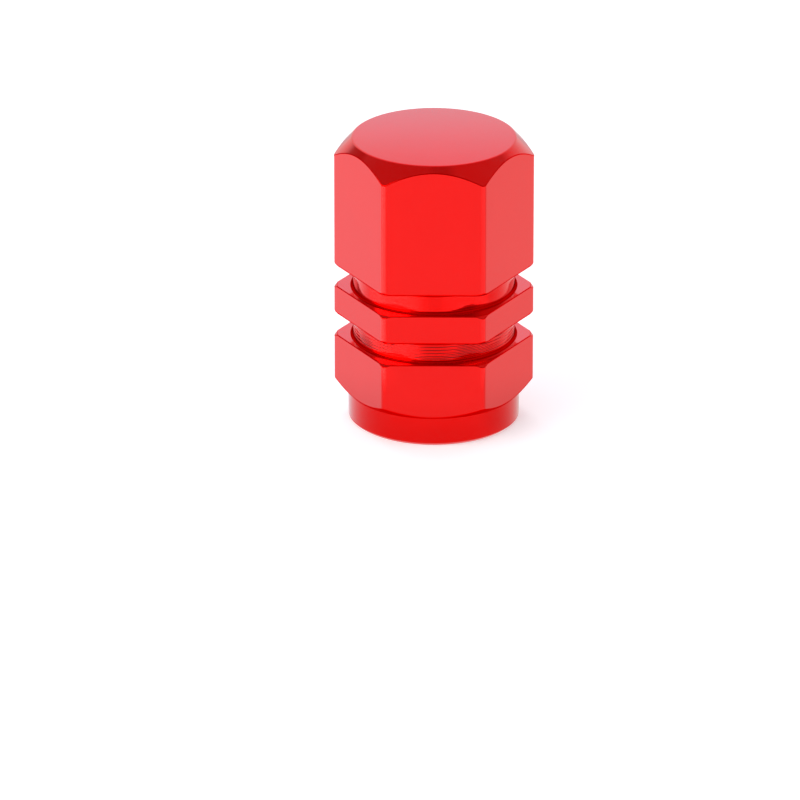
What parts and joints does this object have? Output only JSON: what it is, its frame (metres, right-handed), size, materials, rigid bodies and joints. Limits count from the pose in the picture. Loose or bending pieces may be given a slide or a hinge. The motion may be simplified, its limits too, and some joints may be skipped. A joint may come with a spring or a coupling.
{
  "type": "tyre valve cap",
  "caption": "Anodised hexagonal cap with turned grooves that screws onto a tyre valve stem and seals it with an inner washer.",
  "frame": {"origin": "centre of the open mouth, on the plane that the cap stands on", "axes": "+Z along the bore towards the closed end; one flat of the hexagon faces -Y"},
  "size_m": [0.0108, 0.0094, 0.0163],
  "materials": {
    "red_anodised": "bright red anodised",
    "black_rubber": "matte"
  },
  "bodies": {
    "root": {"cap_body": "red_anodised", "sealing_washer": "black_rubber"}
  },
  "joints": []
}
